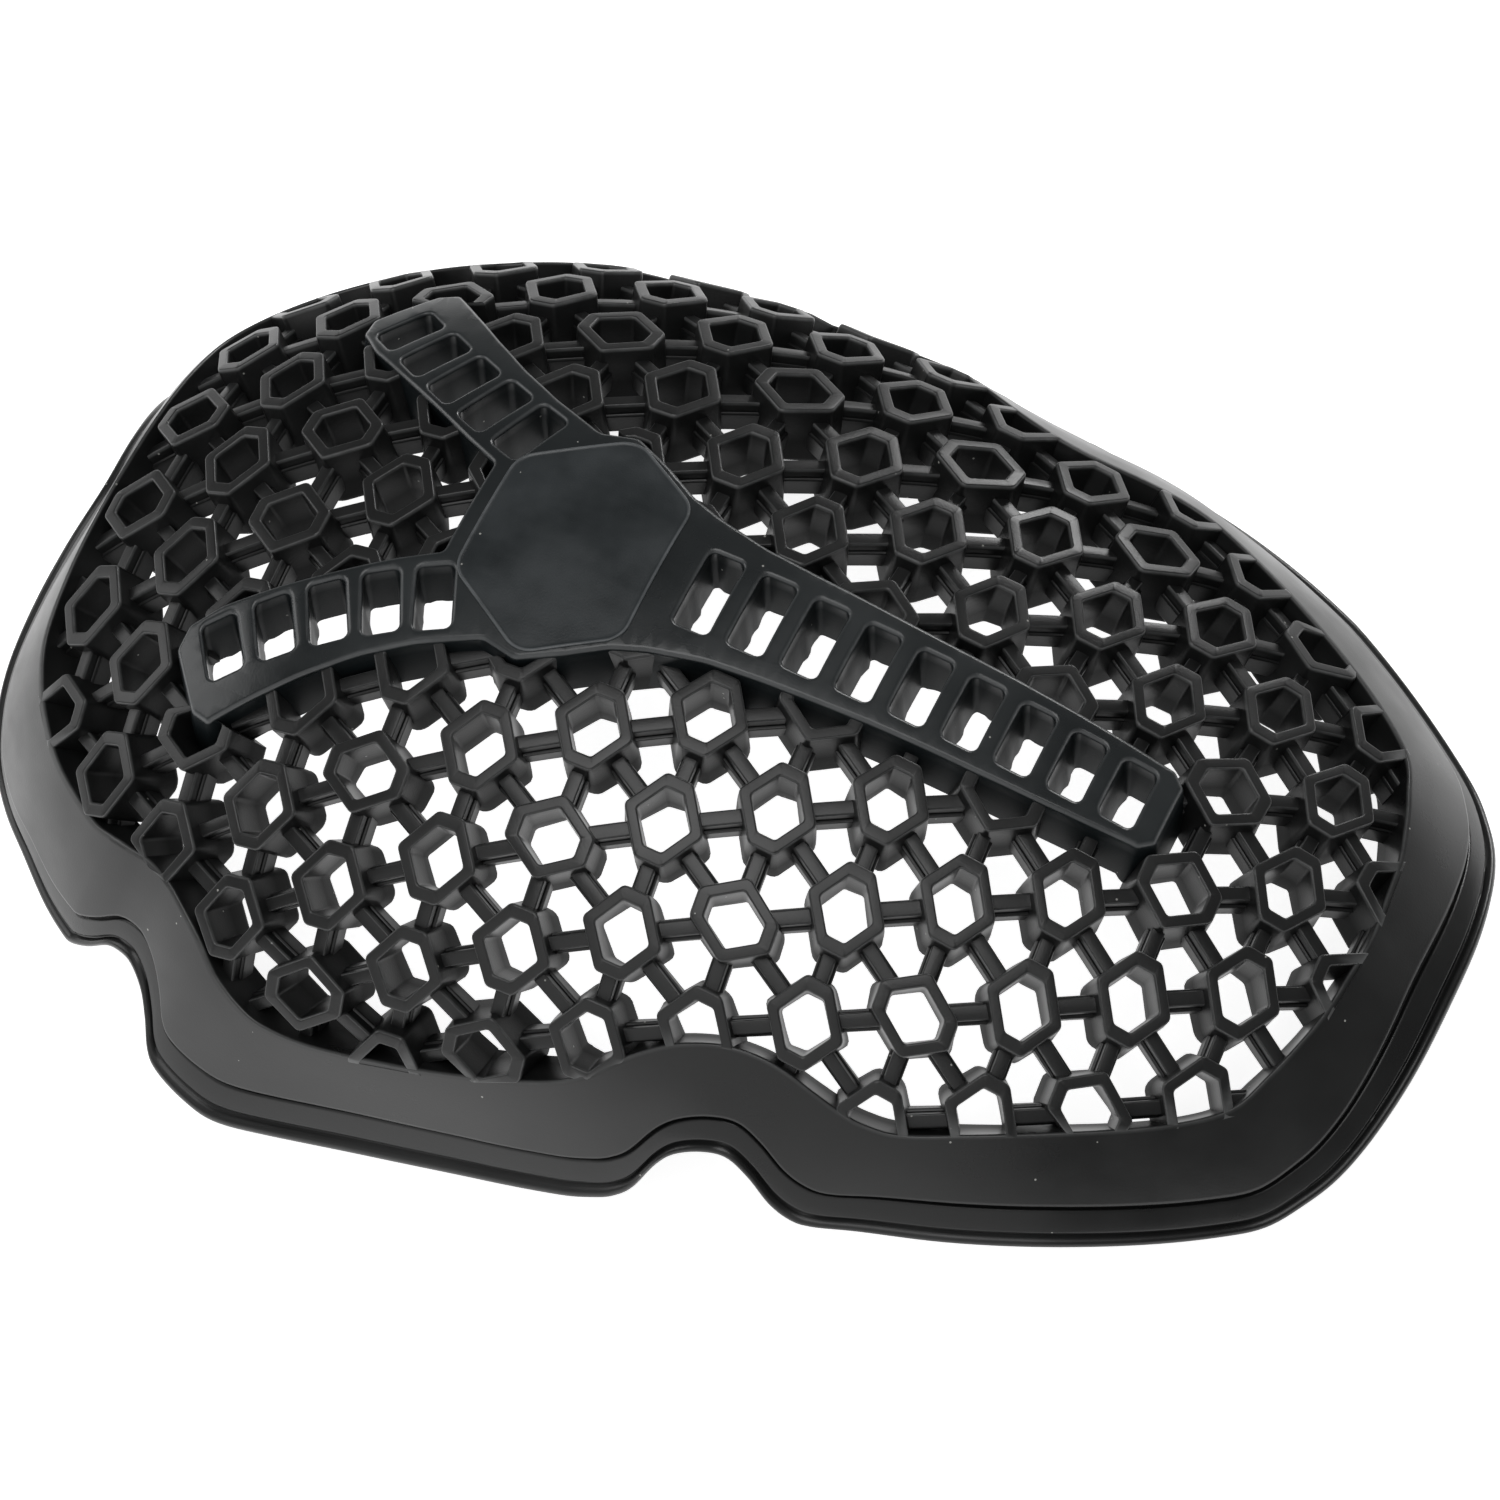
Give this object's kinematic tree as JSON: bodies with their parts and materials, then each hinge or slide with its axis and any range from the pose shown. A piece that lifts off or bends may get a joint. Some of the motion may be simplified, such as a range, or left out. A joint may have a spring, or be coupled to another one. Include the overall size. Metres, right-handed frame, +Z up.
{
  "type": "shoulder protector",
  "caption": "Domed shoulder armour insert moulded in black elastomer: a lattice of open hexagonal tubes, a hub with slotted ladder arms and a smooth flange with a sewing lip.",
  "frame": {"origin": "middle of the bounding box's footprint, on the ground plane the insert lies on", "axes": "+X from the neck end to the sleeve end, +Y across, +Z up through the crown; the part is its own mirror image in the plane Y = 0"},
  "size_m": [0.234, 0.1648, 0.0634],
  "materials": {
    "elastomer": "satin black moulded elastomer"
  },
  "bodies": {
    "root": {"guard_moulding": "elastomer"}
  },
  "joints": []
}
